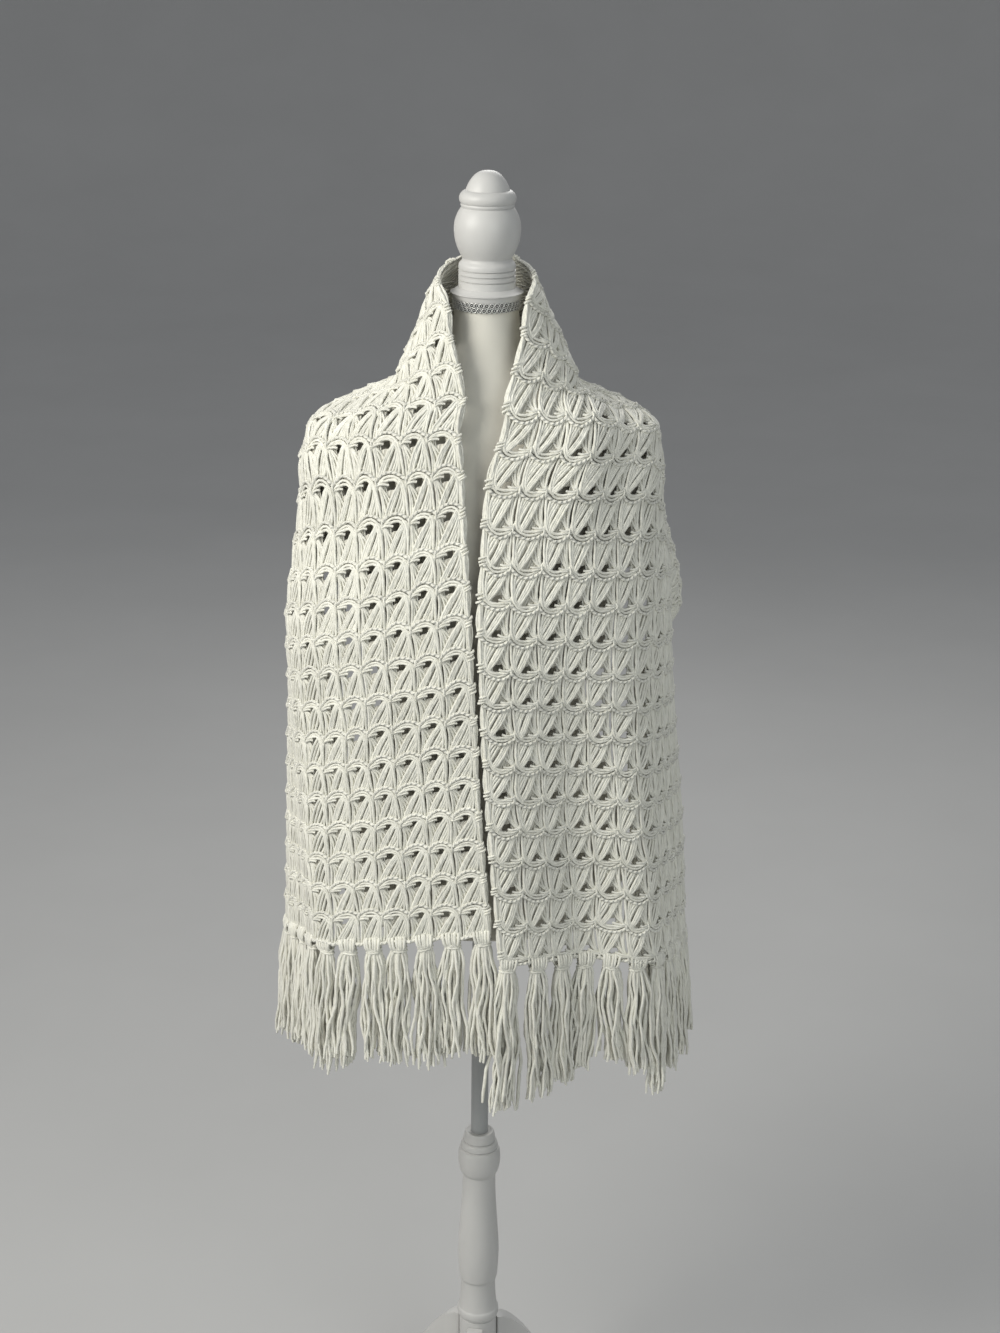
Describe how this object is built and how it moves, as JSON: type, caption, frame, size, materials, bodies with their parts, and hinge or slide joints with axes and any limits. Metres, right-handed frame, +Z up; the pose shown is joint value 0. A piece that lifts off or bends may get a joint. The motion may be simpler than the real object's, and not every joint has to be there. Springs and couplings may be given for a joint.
{
  "type": "crochet shawl on a dress form and stand",
  "caption": "Long fringed crochet lace shawl draped round the neck and over the shoulders of a limbless dress form on a turned stand with curved legs.",
  "frame": {"origin": "centre of the whole part's box in plan, at the floor", "axes": "+Z up, -Y the way the form's front faces, +X to the right of someone who looks at the front"},
  "size_m": [0.5106, 0.4028, 1.682],
  "materials": {
    "yarn": "matt plied cotton yarn, off-white",
    "form_fabric": "matt woven cover, cream",
    "white_paint": "satin white paint",
    "grey_paint": "satin grey paint",
    "silver_braid": "silver thread braid"
  },
  "bodies": {
    "root": {"shawl_left_front": "yarn", "shawl_neck_and_back": "yarn", "shawl_right_front": "yarn", "tassel_left_01": "yarn", "tassel_left_02": "yarn", "tassel_left_03": "yarn", "tassel_left_04": "yarn", "tassel_left_05": "yarn", "tassel_left_06": "yarn", "tassel_left_07": "yarn", "tassel_left_08": "yarn", "tassel_left_09": "yarn", "tassel_left_10": "yarn", "tassel_left_11": "yarn", "tassel_left_12": "yarn", "tassel_left_13": "yarn", "tassel_left_14": "yarn", "tassel_left_15": "yarn", "tassel_right_01": "yarn", "tassel_right_02": "yarn", "tassel_right_03": "yarn", "tassel_right_04": "yarn", "tassel_right_05": "yarn", "tassel_right_06": "yarn", "tassel_right_07": "yarn", "tassel_right_08": "yarn", "tassel_right_09": "yarn", "tassel_right_10": "yarn", "tassel_right_11": "yarn", "tassel_right_12": "yarn", "tassel_right_13": "yarn", "tassel_right_14": "yarn", "tassel_right_15": "yarn", "form_body": "form_fabric", "neck_trim": "silver_braid", "neck_cap": "white_paint", "finial": "white_paint", "column": "white_paint", "hub": "white_paint", "pole": "grey_paint", "leg_front": "white_paint", "leg_right": "white_paint", "leg_left": "white_paint"}
  },
  "joints": []
}
